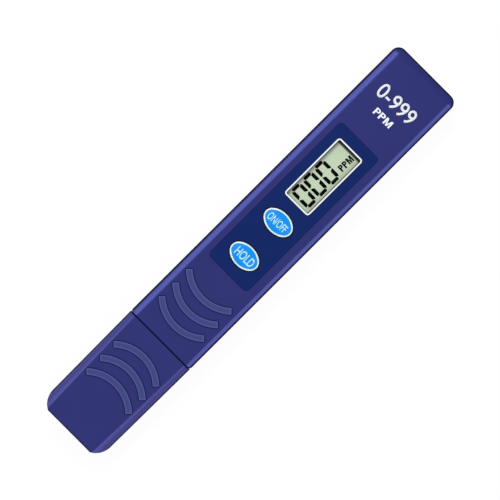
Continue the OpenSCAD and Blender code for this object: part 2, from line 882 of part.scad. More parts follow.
module battery_door() {
    grooves = floor((end_x - door_x0) / 3 / groove_pitch);
    color("#2f346e") difference() {
        intersection() {
            housing_form();
            union() {
                block(door_x0, end_x + over, door_w, 0, door_t);
                block(door_x0, end_x + over, door_w + 2 * rail_w, door_t - rail_t, door_t);
            }
        }
        for (k = [0:1:grooves - 1])
            block(door_x0 + (k + 1.5) * groove_pitch, door_x0 + (k + 2) * groove_pitch,
                groove_l, -over, groove_d);
    }
}

module battery_bridge() {
    color("gold") block(cell_xs[0] - contact_w / 2, cell_xs[1] + contact_w / 2,
        bridge_w, door_t, door_t + contact_t);
}

// Probe

module neck_form() {
    difference() {
        along_x(tip_x, seam_x)
            translate([0, mid_z]) round_rect(neck_w, neck_h, neck_r);
        for (y = [-1, 1]) scale([1, y, 1]) along_z(-over, body_h + over)
            difference() {
                translate([tip_x - over, neck_w / 2 - neck_tip_r])
                    square([over + neck_tip_r, neck_tip_r + over]);
                translate([tip_x + neck_tip_r, neck_w / 2 - neck_tip_r]) circle(neck_tip_r);
            }
    }
}

module guard_notch() {
    along_z(-over, body_h + over) {
        translate([tip_x - over, -notch_w / 2]) square([over + notch_d - notch_r, notch_w]);
        translate([tip_x - over, -notch_w / 2 + notch_r])
            square([over + notch_d, notch_w - 2 * notch_r]);
        for (y = [-1, 1])
            translate([tip_x + notch_d - notch_r, y * (notch_w / 2 - notch_r)]) circle(notch_r);
    }
}

module probe_sleeve() {
    rib_h = cap_fit - rib_gap;
    color("#2b3068") difference() {
        union() {
            neck_form();
            along_x(seam_x - over, collar_x0 + slack)
                translate([0, mid_z]) round_rect(neck_w - 2 * waist_d, neck_h - 2 * waist_d, neck_r);
            along_x(collar_x0, collar_x0 + collar_l)
                translate([0, mid_z]) round_rect(neck_w, collar_h, neck_r);
            for (side = [-1, 1])
                block_at(seam_x - 0.4 * neck_l, seam_x - neck_r, side * neck_w / 4, neck_r,
                    mid_z - neck_h / 2 - rib_h, mid_z + neck_h / 2 + rib_h);
        }
        along_x(tip_x - over, web_x) translate([0, mid_z])
            round_rect(neck_w - 2 * guard_t, neck_h - 2 * guard_t, neck_r);
        guard_notch();
        along_x(channel_x, cavity_x0 + collar_l + over) translate([0, mid_z])
            round_rect(channel_w, channel_h, neck_r);
        for (y = pin_ys) translate([web_x - over, y, mid_z]) rotate([0, 90, 0])
            cylinder(r = pin_r, h = web_t + 2 * over);
    }
}

module probe_potting() {
    color("beige") difference() {
        along_x(channel_x, channel_x + potting_l) translate([0, mid_z])
            round_rect(channel_w, channel_h, neck_r);
        for (y = pin_ys) translate([channel_x - over, y, mid_z]) rotate([0, 90, 0])
            cylinder(r = pin_r, h = potting_l + 2 * over);
    }
}

module probe_pins() {
    color("gainsboro") for (y = pin_ys) translate([0, y, mid_z]) {
        translate([web_x - pin_out + pin_r, 0, 0]) {
            rotate([0, 90, 0]) cylinder(r = pin_r, h = pin_x1 - web_x + pin_out - pin_r);
            sphere(pin_r);
        }
    }
}

// A round wire through a list of points
module wire(points, r) {
    for (k = [0:1:len(points) - 2]) {
        step = points[k + 1] - points[k];
        translate(points[k]) rotate([0, acos(step[2] / norm(step)), atan2(step[1], step[0])])
            cylinder(r = r, h = norm(step));
    }
    for (k = [1:1:len(points) - 2]) translate(points[k]) sphere(1.03 * r);
}

module probe_leads() {
    solder_z = mid_z + pin_r + lead_r;
    pad_z = board_top_z + lead_r;
    bend_x = board_x0 - lead_bend;
    color("firebrick") for (y = pin_ys)
        wire([
            [pin_x1 - pin_tail, y, solder_z],
            [bend_x, y, solder_z],
            [board_x0 - 2 * lead_r, y, pad_z],
            [board_x0 + pin_tail, y, pad_z]
        ], lead_r);
}

// Cap

// Quarter of the cap's section in Y and Z, with its rolled edge at the top right
module cap_quarter_profile() {
    top = mid_z + cap_crown;
    far = body_w;
    translate([-far, -far]) square([far + half_w - cap_edge_r, far + top]);
    translate([-far, -far]) square([far + half_w, far + top - cap_edge_r]);
    translate([half_w - cap_edge_r, top - cap_edge_r]) circle(cap_edge_r);
}

// Quarter leaning in towards the closed end, on one side and one face
module cap_quarter(side, face) {
    corner = [0, half_w, mid_z + cap_crown];
    translate([mouth_x, 0, mid_z]) scale([1, side, face])
        translate(corner) rotate([0, -cap_crown_draft, cap_draft]) translate(-corner)
            along_x(-cap_l - over, over) cap_quarter_profile();
}

// Plan of the cap from its mouth to the arcs that turn into the closed end
module cap_plan(x0, x1, half, corner_y, r) {
    intersection() {
        union() {
            translate([cap_corner_x, -half]) square([x1 - cap_corner_x, 2 * half]);
            translate([x0, -corner_y]) square([x1 - x0, 2 * corner_y]);
            for (y = [-1, 1]) translate([cap_corner_x, y * corner_y]) circle(r);
        }
        translate([x0, -half]) square([x1 - x0, 2 * half]);
    }
}

module cap_form() {
    intersection() {
        cap_quarter(1, 1);
        cap_quarter(1, -1);
        cap_quarter(-1, 1);
        cap_quarter(-1, -1);
        along_z(0, body_h)
            cap_plan(cap_tip_x, mouth_x, body_w, cap_corner_y, cap_corner_r);
    }
}

module cap_bore() {
    bore_corner_r = cap_corner_r - cap_t;
    intersection() {
        along_x(cap_tip_x, mouth_x + over)
            translate([0, mid_z]) round_rect(bore_w, bore_h, neck_r);
        along_z(0, body_h)
            cap_plan(cap_tip_x + cap_end_t, mouth_x + over, bore_w / 2,
                bore_w / 2 - bore_corner_r, bore_corner_r);
    }
}

module probe_cap() {
    color("#333875") {
        difference() {
            cap_form();
            cap_bore();
        }
        for (k = [0:1:arc_count - 1])
            translate([mouth_x - cap_arc_start - arc_r - arc_w / 2 - k * arc_pitch, 0, 0])
                along_z(body_h - slack, body_h + arc_h) grip_arc();
    }
}

front_shell();
back_shell();
front_overlay();
display_lens();
display_front_film();
display_front_glass();
display_rear_glass();
display_reflector();
display_contact_strips();
display_carrier();
circuit_board();
chip_blob();
amplifier_chip();
chip_passives();
switch_base(power_x);  // power_switch_base
switch_base(hold_x);  // hold_switch_base
trimmer_base();
trimmer_rotor();
key_body(power_x);  // power_key
key_inlay(power_x);  // power_key_inlay
switch_plunger(power_x);  // power_switch_plunger
key_body(hold_x);  // hold_key
key_inlay(hold_x);  // hold_key_inlay
switch_plunger(hold_x);  // hold_switch_plunger
battery_contact(cell_xs[0], -1);  // battery_contact_positive
battery_contact(cell_xs[1], 1);  // battery_contact_negative
button_cells();
battery_door();
battery_bridge();
case_screws();
probe_sleeve();
probe_potting();
probe_pins();
probe_leads();
probe_cap();
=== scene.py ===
"""Looks of a pen-type water meter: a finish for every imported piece, the prints on the
housing and keys, the digits of the display, and a pale studio with the photograph's camera.
"""

import math

import bmesh
import bpy
from mathutils import Matrix, Vector


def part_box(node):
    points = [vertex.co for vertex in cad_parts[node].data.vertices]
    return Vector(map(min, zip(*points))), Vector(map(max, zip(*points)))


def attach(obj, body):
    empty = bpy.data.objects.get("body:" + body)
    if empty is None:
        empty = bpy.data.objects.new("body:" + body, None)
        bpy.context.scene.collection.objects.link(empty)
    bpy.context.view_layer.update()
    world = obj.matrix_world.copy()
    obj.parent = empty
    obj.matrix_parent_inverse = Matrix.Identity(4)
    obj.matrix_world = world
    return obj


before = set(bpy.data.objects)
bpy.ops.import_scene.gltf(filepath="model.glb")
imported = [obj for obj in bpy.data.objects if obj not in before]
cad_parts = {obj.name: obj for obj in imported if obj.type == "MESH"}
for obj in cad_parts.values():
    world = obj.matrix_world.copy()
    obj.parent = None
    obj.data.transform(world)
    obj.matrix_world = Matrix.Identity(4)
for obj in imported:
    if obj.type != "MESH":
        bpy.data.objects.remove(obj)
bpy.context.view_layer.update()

MM = 0.001
scene = bpy.context.scene

# The pen lies at this angle in the photograph, which is 150 mm wide at the outline's height.
# The photograph's centre is given along its own sides
PEN_ANGLE = math.radians(44.92)
PHOTO_WIDTH = 150 * MM
PHOTO_CENTRE = (0.42 * MM, 0.6 * MM)
CAMERA_HEIGHT = 1.5
CAMERA_CLIP = (0.05, 50)
OUTLINE_HEIGHT = 11 * MM

# Floor, with the share and level of white that the camera sees of it, world and lamps.
# A lamp has its azimuth and elevation in degrees, distance, size and level
FLOOR_GAP = 0.05 * MM
FLOOR_REACH = 6
FLOOR_WHITE_SHARE = 0.88
FLOOR_WHITE_LEVEL = 1.07
WORLD_LEVEL = 0.36
LAMPS = {
    "key": (50, 62, 0.9, (0.3, 0.3), 0.35),
    "side": (100, 66, 0.9, (0.6, 0.3), 0.18),
    "fill": (262, 60, 1.0, (0.8, 0.8), 0.28),
}

# Heights of the surfaces that carry prints, and how far ink stands out of them and goes in
FACE_Z = 14 * MM
OVERLAY_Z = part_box("front_overlay")[1].z
FILM_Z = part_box("display_front_film")[1].z
KEY_TOP_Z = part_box("power_key_inlay")[1].z
INK = 0.02 * MM
SUNK = 0.01 * MM

# White line round the window: its middle, the size inside it, its corners and its width,
# and the width of the line of painted shade outside it
FRAME_X = 31.79 * MM
FRAME_Y = 0.08 * MM
FRAME_SIZE = (22.66 * MM, 9.18 * MM)
FRAME_CORNER = 0.5 * MM
FRAME_LINE = 0.44 * MM
FRAME_SHADE = 0.22 * MM

# Keys: centres along the pen, the sphere of their domed tops, their oval, and the gap to and width
# of the painted shade line round it
POWER_X = sum(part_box("power_key"), Vector()).x / 2
HOLD_X = sum(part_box("hold_key"), Vector()).x / 2
DOME_R = 30 * MM
KEY_SIZE = (7.2 * MM, 10.5 * MM)
KEY_END_SHARE = 0.73
KEY_SHADE_GAP = 0.17 * MM
KEY_SHADE_WIDTH = 0.2 * MM
OVAL_STEPS = 16

# Words: their length and height, the place of their middle and how much they are thickened
RANGE_SIZE = (14.1 * MM, 4.9 * MM)
RANGE_X = 62.7 * MM
RANGE_BOLD = 0.008
UNIT_SIZE = (6.8 * MM, 2.3 * MM)
UNIT_X = 56.85 * MM
POWER_WORDS_SIZE = (7.1 * MM, 2.57 * MM)
POWER_WORDS_SHIFT = (-0.13 * MM, 0.19 * MM)
HOLD_WORDS_SIZE = (6.8 * MM, 2.95 * MM)
HOLD_WORDS_SHIFT = (-0.06 * MM, -0.26 * MM)
KEY_WORDS_BOLD = 0.018

# Words on a dome are cut on a grid of this step. Points of a letter this near are joined
DOME_STEP = 0.4 * MM
SAME_POINT = 1e-5

# Display: its noughts with their upright and level strokes and the gaps, and its unit
DIGIT = (4.2 * MM, 7.8 * MM)
STROKE = 1.12 * MM
BAR = 1.04 * MM
JOINT = 0.08 * MM
DIGIT_CENTRES = (23.63 * MM, 28.47 * MM, 33.42 * MM)
DIGIT_Y = 0.27 * MM
SEGMENT_CORNER = 0.09 * MM
DISPLAY_UNIT_SIZE = (5.1 * MM, 2.2 * MM)
DISPLAY_UNIT_PLACE = (39.36 * MM, -1.85 * MM, 0)

# Widths of the unit's upright and level strokes for letters one high, printed and displayed
UNIT_STROKES = (0.21, 0.16)
DISPLAY_UNIT_STROKES = (0.25, 0.2)

# The unit's letters, one high: where they start, how wide they are, where the P's bowl ends
# and how it is rounded, where the M's V leaves its legs, and half the width of the V's foot
P_STEP = 0.74
P_WIDTH = 0.64
P_MIDDLE = 0.42
BOWL_RADII = (0, 0.28, 0.28, 0, 0, 0.08, 0.08, 0)
M_START = 1.5
M_WIDTH = 0.92
M_FORK = 0.66
M_FOOT = 0.09

# Places that materials read, in millimetres: the shells' ends, side and corners at the seam,
# and the film's end and side
SEAM, TOP_END = (corner.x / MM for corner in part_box("front_shell"))
CLOSED_END, MOUTH = (corner.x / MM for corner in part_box("probe_cap"))
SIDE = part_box("front_shell")[1].y / MM
CORNER = 1.2
FILM_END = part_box("display_front_film")[1].x / MM
FILM_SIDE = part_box("display_front_film")[0].y / MM

# More such places, each from the start to the end of a soft edge: where the painted highlights
# and painted shade start and end, the grips, and the film's painted shadow. A band has two edges
UPPER_BAND = ((SIDE - 2.6, SIDE - 1.8), (SIDE - 0.4, SIDE - 1.0))
LOWER_BAND = ((1.9 - SIDE, 1.3 - SIDE), (0.35 - SIDE, 0.65 - SIDE))
BANDS_END = (TOP_END - 1.7, TOP_END - 2.6)
CREASE = ((TOP_END - 2.55, TOP_END - 2.2), (TOP_END - 1.75, TOP_END - 2.1))
HOUSING_RIM = (SEAM + 1.3, SEAM + 1.0)
CORNER_RIM = (CORNER - 0.22, CORNER - 0.04)
CAP_RIM = (MOUTH - 0.35, MOUTH - 0.1)
CLOSED_EDGE = (CLOSED_END + 0.5, CLOSED_END + 0.25)
GRIP_HEIGHTS = (FACE_Z / MM + 0.08, FACE_Z / MM + 0.16)
FILM_END_SHADE = (FILM_END - 2.1, FILM_END - 1.65)
FILM_SIDE_SHADE = (FILM_SIDE + 1.3, FILM_SIDE + 0.95)

# Thickness of a sheet in the contact strips, in millimetres, and rings turned in the cells' cans
SHEET = 0.1
RINGS_PER_MM = 9


# Colours


def rgb(red, green, blue):
    """Linear colour of an sRGB colour given from 0 to 255."""
    def linear(value):
        value /= 255
        return value / 12.92 if value <= 0.04045 else ((value + 0.055) / 1.055) ** 2.4
    return (linear(red), linear(green), linear(blue), 1)


def shade(colour, factor):
    """The colour made darker or lighter by a factor."""
    return (*(factor * channel for channel in colour[:3]), 1)


HOUSING = rgb(43, 46, 113)
CAP = rgb(44, 47, 114)
GRIPS = rgb(61, 67, 127)
# Painted highlight on grip edges, crisp edges lighter by wear and painted highlight, painted shade
GRIP_EDGE_HIGHLIGHT = rgb(102, 108, 178)
EDGE_WEAR_AND_HIGHLIGHT = rgb(110, 116, 186)
PAINTED_SHADE = rgb(7, 13, 78)
KEY_WHITE = rgb(218, 247, 252)
WHITE = (1, 1, 1, 1)


# Shader helpers


def add(tree, kind, inputs=None, **settings):
    """A new shader node. Each input is a value or another node's output."""
    node = tree.nodes.new("ShaderNode" + kind)
    for key, value in settings.items():
        setattr(node, key, value)
    for key, value in (inputs or {}).items():
        if isinstance(value, bpy.types.NodeSocket):
            tree.links.new(value, node.inputs[key])
        else:
            node.inputs[key].default_value = value
    return node


def math_node(tree, operation, a, b=0.0):
    """The result of one operation."""
    return add(tree, "Math", {0: a, 1: b}, operation=operation).outputs[0]


def both(tree, a, b):
    """The product, which is 1 where both shares are 1."""
    return math_node(tree, "MULTIPLY", a, b)


def squares(tree, a, b):
    """The sum of both squares."""
    return math_node(tree, "ADD", both(tree, a, a), both(tree, b, b))


def distance(tree, a, b):
    """How far a point lies from zero, by its two coordinates."""
    return math_node(tree, "SQRT", squares(tree, a, b))


def ramp(tree, value, start, end, low=0.0, high=1.0):
    """Low up to start, high from end on, and smooth between."""
    inputs = {"Value": value, "From Min": start, "From Max": end, "To Min": low, "To Max": high}
    return add(tree, "MapRange", inputs, interpolation_type="SMOOTHSTEP").outputs["Result"]


def stripe(tree, value, rise, fall):
    """1 between two soft edges."""
    return both(tree, ramp(tree, value, *rise), ramp(tree, value, *fall))


def spread(tree, tone, low, high):
    """Low to high over the range in which most of a noise lies."""
    return ramp(tree, tone, 0.3, 0.7, low, high)


def mix(tree, share, a, b):
    """Colour a, with this share of b over it."""
    node = add(tree, "Mix", {"Factor": share}, data_type="RGBA")
    for index, colour in ((6, a), (7, b)):
        if isinstance(colour, bpy.types.NodeSocket):
            tree.links.new(colour, node.inputs[index])
        else:
            node.inputs[index].default_value = colour
    return node.outputs[2]


def coordinates(tree, stretch=(1, 1, 1)):
    """Place on the piece in millimetres, which moves with the piece."""
    place = add(tree, "TexCoord").outputs["Object"]
    scale = tuple(s / MM for s in stretch)
    return add(tree, "Mapping", {"Vector": place, "Scale": scale}).outputs["Vector"]


def noise(tree, place, size, detail):
    """Soft noise with spots about this many millimetres across."""
    inputs = {"Vector": place, "Scale": 1 / size, "Detail": detail}
    return add(tree, "TexNoise", inputs).outputs["Fac"]


def split(tree, vector):
    """The vector's x, y and z."""
    return add(tree, "SeparateXYZ", {"Vector": vector}).outputs


def new_material(name, **sockets):
    """A material and its Principled shader, with plain values set on the shader itself."""
    material = bpy.data.materials.new(name)
    material.use_nodes = True
    tree = material.node_tree
    shader = tree.nodes["Principled BSDF"]
    for key, value in sockets.items():
        shader.inputs[key.replace("_", " ")].default_value = value
    return material, tree, shader


def rounded_normal(tree, radius):
    """The normal, with edges rounded by this radius in millimetres."""
    return add(tree, "Bevel", {"Radius": radius * MM}, samples=6).outputs["Normal"]


def edge_share(tree, normal):
    """1 on crisp edges, where the rounded normal leaves the true one, and 0 elsewhere."""
    true_normal = add(tree, "NewGeometry").outputs["Normal"]
    along = add(tree, "VectorMath", {0: normal, 1: true_normal}, operation="DOT_PRODUCT")
    return ramp(tree, along.outputs["Value"], 0.995, 0.86)


def painted_shade_share(tree, reach, most, deep=0.6):
    """Share of painted shade: most in gaps and inside corners where this reach is open by less than
    deep, and 0 outside.
    """
    open_share = add(tree, "AmbientOcclusion", {"Distance": reach * MM}, samples=8)
    return ramp(tree, open_share.outputs["AO"], 0.97, deep, 0, most)


def finish_surface(tree, shader, colour, height, strength, depth, normal, roughness):
    """Links the colour, the roughness and a bump of this depth in millimetres."""
    inputs = {"Strength": strength, "Distance": depth * MM, "Height": height, "Normal": normal}
    bump = add(tree, "Bump", inputs)
    tree.links.new(colour, shader.inputs["Base Color"])
    tree.links.new(roughness, shader.inputs["Roughness"])
    tree.links.new(bump.outputs["Normal"], shader.inputs["Normal"])


# Finishes


def housing_highlights(tree, place):
    """1 on the bands of painted highlight along the housing's long edges, which end before the top
    end.
    """
    x, y = split(tree, place)[:2]
    upper, lower = stripe(tree, y, *UPPER_BAND), stripe(tree, y, *LOWER_BAND)
    return both(tree, math_node(tree, "ADD", upper, lower), ramp(tree, x, *BANDS_END))


def cap_highlights(tree, _):
    """Share of painted highlight: 1 along the crease where the cap's rolled edges meet its face,
    and less on the rest.

    The share follows the tilt of the surface, so the place isn't needed.
    """
    normal = split(tree, add(tree, "TexCoord").outputs["Normal"])
    tilt = math_node(tree, "ABSOLUTE", normal["Z"])
    long_side = ramp(tree, math_node(tree, "ABSOLUTE", normal["X"]), 0.3, 0.1)
    rolled = stripe(tree, tilt, (0.985, 0.93), (0.05, 0.3))
    crease = ramp(tree, tilt, 0.77, 0.86, 0.62, 0.94)
    outer = ramp(tree, tilt, 0.68, 0.56, 0, 0.22)
    return both(tree, both(tree, rolled, math_node(tree, "ADD", crease, outer)), long_side)


def housing_shade_lines(tree, place, facing):
    """Share of painted shade: 1 on the rim at the seam, which turns with the corners, and less in
    the top crease.
    """
    x, y = split(tree, place)[:2]
    before = math_node(tree, "SUBTRACT", SEAM + CORNER, x)
    beside = math_node(tree, "SUBTRACT", math_node(tree, "ABSOLUTE", y), SIDE - CORNER)
    before, beside = (math_node(tree, "MAXIMUM", value, 0.0) for value in (before, beside))
    reach = distance(tree, before, beside)
    rim = both(tree, ramp(tree, reach, *CORNER_RIM), ramp(tree, x, *HOUSING_RIM))
    faint = both(tree, both(tree, stripe(tree, x, *CREASE), facing), 0.22)
    return math_node(tree, "MAXIMUM", rim, faint)


def cap_shade_lines(tree, place, facing):
    """Share of painted shade: 1 on the rim at the seam and on the edge of the closed end."""
    x = split(tree, place)[0]
    closed = both(tree, ramp(tree, x, *CLOSED_EDGE), facing)
    return math_node(tree, "MAXIMUM", ramp(tree, x, *CAP_RIM), closed)


def paint_grips(tree, place, paint, colour):
    """The paint with the grips above the face in their own colour, and a painted highlight along
    their edges.
    """
    grip = ramp(tree, split(tree, place)[2], *GRIP_HEIGHTS)
    inside = add(tree, "AmbientOcclusion", {"Distance": 0.6 * MM}, samples=8, inside=True)
    # Painted highlight along the grips' edges
    edge_highlight = both(tree, grip, ramp(tree, inside.outputs["AO"], 0.99, 0.8))
    paint = mix(tree, grip, paint, colour)
    return mix(tree, both(tree, edge_highlight, 0.4), paint, GRIP_EDGE_HIGHLIGHT)


def moulded_plastic(name, colour, rough=0.5, grain=0.3, edges=None, polished=None,
                    raised=None, lines=None, shoulder=(0.72, 0.56)):
    """Satin moulded plastic: spark-eroded grain, painted highlights on the edges, crisp edges
    lighter by wear and painted highlight, and painted shade in corners, gaps and on the rounding.

    edges gives the share of the painted highlight colour, raised is the colour of the grips above
    the face, and lines gives the share of the painted shade in creases and rims. shoulder is the
    ramp of the tilt over which the rounding gets painted shade and grows rough before the sides.
    """
    material, tree, shader = new_material(name, Specular_IOR_Level=0.1)
    place = coordinates(tree)
    paint = mix(tree, noise(tree, place, 14, 3), shade(colour, 0.94), shade(colour, 1.06))
    # Painted highlight on the edge bands
    if polished is not None:
        paint = mix(tree, edges(tree, place), paint, polished)
    if raised is not None:
        paint = paint_grips(tree, place, paint, raised)
    normal = rounded_normal(tree, 0.14)
    # Crisp edges lighter, partly by wear and partly as a painted highlight
    wear_and_highlight = both(tree, edge_share(tree, normal), 0.15)
    paint = mix(tree, wear_and_highlight, paint, EDGE_WEAR_AND_HIGHLIGHT)
    tilt = math_node(tree, "ABSOLUTE", split(tree, add(tree, "TexCoord").outputs["Normal"])[2])
    # Painted shade on the rounding where it turns away, before the sides; the same share makes it
    # rough
    dull_and_shaded = both(tree, ramp(tree, tilt, *shoulder, 0, 0.94), ramp(tree, tilt, 0.02, 0.08))
    outline_shade = both(tree, dull_and_shaded, ramp(tree, tilt, 0.14, 0.34))
    paint = mix(tree, outline_shade, paint, shade(colour, 0.12))
    # Painted shade in gaps and corners, and on the creases and rims that lines gives
    dark = painted_shade_share(tree, 0.6, 1, 0.8)
    if lines is not None:
        drawn = lines(tree, place, ramp(tree, tilt, 0.3, 0.7))
        dark = math_node(tree, "MAXIMUM", dark, drawn)
    paint = mix(tree, dark, paint, PAINTED_SHADE)
    pits = noise(tree, place, 0.16, 4)
    roughness = spread(tree, noise(tree, place, 5, 4), rough - 0.03, rough + 0.04)
    roughness = math_node(tree, "MAXIMUM", roughness, dull_and_shaded)
    finish_surface(tree, shader, paint, pits, grain, 0.03, normal, roughness)
    return material


def overlay_film():
    """Fine velvet-textured film, back-printed in one deep blue."""
    material, tree, shader = new_material("overlay_film", Specular_IOR_Level=0.08)
    place = coordinates(tree)
    tone = noise(tree, place, 9, 3)
    paint = mix(tree, tone, rgb(2, 32, 95), rgb(6, 36, 102))
    # Painted shade in the film's gaps and corners
    paint = mix(tree, painted_shade_share(tree, 0.5, 0.85), paint, rgb(4, 6, 26))
    normal = rounded_normal(tree, 0.08)
    velvet = noise(tree, place, 0.09, 3)
    roughness = spread(tree, noise(tree, place, 4, 4), 0.34, 0.42)
    finish_surface(tree, shader, paint, velvet, 0.25, 0.015, normal, roughness)
    return material


def gloss_plastic(name, colour, rough=0.2, shade_colour=rgb(10, 18, 60), gloss=0.5, key_x=None):
    """Glossy moulded plastic with a faint orange peel and painted shade in its corners.

    A key's oval shoulder, which falls away into the gap round it, gets painted shade too.
    """
    material, tree, shader = new_material(name, Specular_IOR_Level=gloss)
    place = coordinates(tree)
    paint = mix(tree, noise(tree, place, 5, 3), shade(colour, 0.97), colour)
    # Painted shade in corners and gaps
    paint = mix(tree, painted_shade_share(tree, 0.4, 0.9), paint, shade_colour)
    if key_x is not None:
        x, y = split(tree, place)[:2]
        half_length, half_width = (side / MM / 2 for side in KEY_SIZE)
        from_middle = math_node(tree, "SUBTRACT", x, key_x / MM)
        along = math_node(tree, "DIVIDE", from_middle, half_length)
        across = math_node(tree, "DIVIDE", y, half_width)
        shoulder = ramp(tree, squares(tree, along, across), 0.9, 0.97)
        paint = mix(tree, shoulder, paint, shade_colour)
    normal = rounded_normal(tree, 0.1)
    peel = noise(tree, place, 0.7, 2)
    roughness = spread(tree, noise(tree, place, 1.5, 5), rough - 0.03, rough + 0.06)
    finish_surface(tree, shader, paint, peel, 0.15, 0.02, normal, roughness)
    return material


def printed_ink(name, colour, gloss=0.15):
    """Screen-printed ink with a slightly uneven film."""
    material, tree, shader = new_material(name, Specular_IOR_Level=gloss)
    place = coordinates(tree)
    cover = noise(tree, place, 0.25, 3)
    paint = mix(tree, cover, shade(colour, 0.95), colour)
    roughness = spread(tree, cover, 0.42, 0.52)
    plain = add(tree, "NewGeometry").outputs["Normal"]
    finish_surface(tree, shader, paint, cover, 0.2, 0.005, plain, roughness)
    return material


def clear_lens():
    """Thin acrylic window: see-through, with gloss that grows at low angles."""
    material = bpy.data.materials.new("clear_lens")
    material.use_nodes = True
    tree = material.node_tree
    tree.nodes.remove(tree.nodes["Principled BSDF"])
    place = coordinates(tree)
    rubs = noise(tree, place, 2, 3)
    bump = add(tree, "Bump", {"Strength": 0.05, "Distance": 0.01 * MM, "Height": rubs})
    roughness = spread(tree, noise(tree, place, 3, 4), 0.03, 0.07)
    clear = add(tree, "BsdfTransparent", {"Color": (0.99, 0.995, 0.99, 1)})
    inputs = {"Color": WHITE, "Normal": bump.outputs["Normal"], "Roughness": roughness}
    gloss = add(tree, "BsdfGlossy", inputs)
    outside = math_node(tree, "SUBTRACT", 1.0, add(tree, "NewGeometry").outputs["Backfacing"])
    share = both(tree, add(tree, "Fresnel", {"IOR": 1.13}).outputs[0], outside)
    blend = add(tree, "MixShader", {0: share, 1: clear.outputs[0], 2: gloss.outputs[0]})
    tree.links.new(blend.outputs[0], tree.nodes["Material Output"].inputs["Surface"])
    return material


def display_film():
    """Grey-green polarising film with a fine pearly grain, and painted shade and shadow of the
    window's walls.
    """
    wall_shade = rgb(52, 60, 54)
    material, tree, shader = new_material("display_film_face", Specular_IOR_Level=0.3)
    place = coordinates(tree)
    pearl = noise(tree, place, 0.12, 4)
    cloud = noise(tree, place, 3, 2)
    paint = mix(tree, pearl, rgb(193, 209, 181), rgb(205, 220, 193))
    paint = mix(tree, ramp(tree, cloud, 0.4, 0.8, 0, 0.15), paint, rgb(188, 198, 172))
    paint = mix(tree, painted_shade_share(tree, 0.5, 0.45), paint, wall_shade)
    x, y = split(tree, place)[:2]
    # Painted shadow of the window's far wall, and painted shade along its low side
    paint = mix(tree, ramp(tree, x, *FILM_END_SHADE, 0, 0.95), paint, rgb(14, 18, 22))
    paint = mix(tree, ramp(tree, y, *FILM_SIDE_SHADE, 0, 0.7), paint, wall_shade)
    roughness = spread(tree, cloud, 0.4, 0.5)
    plain = add(tree, "NewGeometry").outputs["Normal"]
    finish_surface(tree, shader, paint, pearl, 0.15, 0.01, plain, roughness)
    return material


def metal(name, colour, rough, stretch=(1, 12, 12)):
    """Metal with cloudy gloss, and fine lines along the axis that is stretched least."""
    material, tree, shader = new_material(name, Metallic=1.0)
    place = coordinates(tree, stretch)
    lines = noise(tree, place, 0.8, 4)
    cloud = noise(tree, coordinates(tree), 3, 3)
    paint = mix(tree, cloud, shade(colour, 0.86), colour)
    # Painted shade in hollows and corners
    paint = mix(tree, painted_shade_share(tree, 0.4, 0.5), paint, rgb(40, 38, 36))
    roughness = spread(tree, lines, rough - 0.06, rough + 0.1)
    finish_surface(tree, shader, paint, lines, 0.25, 0.006, rounded_normal(tree, 0.06), roughness)
    return material


def turned_steel():
    """Cans of the two button cells: rings from turning round each one's own axis."""
    material, tree, shader = new_material("turned_steel", Metallic=1.0)
    place = coordinates(tree)
    low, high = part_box("button_cells")
    middle, reach = (low + high) / 2 / MM, (high - low) / 2 / MM
    x, y = split(tree, place)[:2]
    from_middle = math_node(tree, "ABSOLUTE", math_node(tree, "SUBTRACT", x, middle.x))
    along = math_node(tree, "SUBTRACT", from_middle, reach.x - reach.y)
    across = math_node(tree, "SUBTRACT", y, middle.y)
    from_axis = add(tree, "CombineXYZ", {0: distance(tree, along, across)}).outputs[0]
    rings = noise(tree, from_axis, 1 / RINGS_PER_MM, 2)
    cloud = noise(tree, place, 2.5, 3)
    paint = mix(tree, cloud, rgb(178, 178, 176), rgb(206, 205, 202))
    roughness = spread(tree, rings, 0.16, 0.34)
    finish_surface(tree, shader, paint, rings, 0.2, 0.01, rounded_normal(tree, 0.1), roughness)
    return material


def board_mask():
    """Green solder mask, paler and raised over a grid of copper tracks."""
    material, tree, shader = new_material("solder_mask", Specular_IOR_Level=0.5)
    place = coordinates(tree)
    tracks = add(tree, "TexBrick", {"Vector": place, "Scale": 0.5, "Mortar Size": 0.03})
    weave = noise(tree, place, 0.3, 2)
    paint = mix(tree, tracks.outputs["Fac"], rgb(20, 92, 48), rgb(46, 128, 62))
    paint = mix(tree, both(tree, weave, 0.2), paint, rgb(12, 60, 32))
    roughness = spread(tree, weave, 0.24, 0.34)
    height = math_node(tree, "ADD", tracks.outputs["Fac"], weave)
    finish_surface(tree, shader, paint, height, 0.3, 0.03, rounded_normal(tree, 0.05), roughness)
    return material


def zebra_rubber():
    """Layered contact strip: thin dark conducting sheets between pale ones."""
    material, tree, shader = new_material("zebra_rubber")
    place = coordinates(tree)
    layer = math_node(tree, "PINGPONG", split(tree, place)[0], SHEET)
    pale = ramp(tree, layer, 0.4 * SHEET, 0.6 * SHEET)
    paint = mix(tree, pale, rgb(30, 30, 32), rgb(208, 160, 150))
    roughness = spread(tree, noise(tree, place, 0.5, 3), 0.55, 0.7)
    finish_surface(tree, shader, paint, layer, 0.2, 0.02, rounded_normal(tree, 0.1), roughness)
    return material


def epoxy(name, colour, rough):
    """Moulded or poured resin with sunken bubbles and a soft skin."""
    material, tree, shader = new_material(name, Specular_IOR_Level=0.5)
    place = coordinates(tree)
    bubbles = add(tree, "TexVoronoi", {"Vector": place, "Scale": 1.2}).outputs["Distance"]
    tone = noise(tree, place, 2, 3)
    paint = mix(tree, tone, colour, shade(colour, 1.3))
    roughness = spread(tree, tone, rough, rough + 0.12)
    height = ramp(tree, bubbles, 0.08, 0.16)
    finish_surface(tree, shader, paint, height, 0.3, 0.03, rounded_normal(tree, 0.1), roughness)
    return material


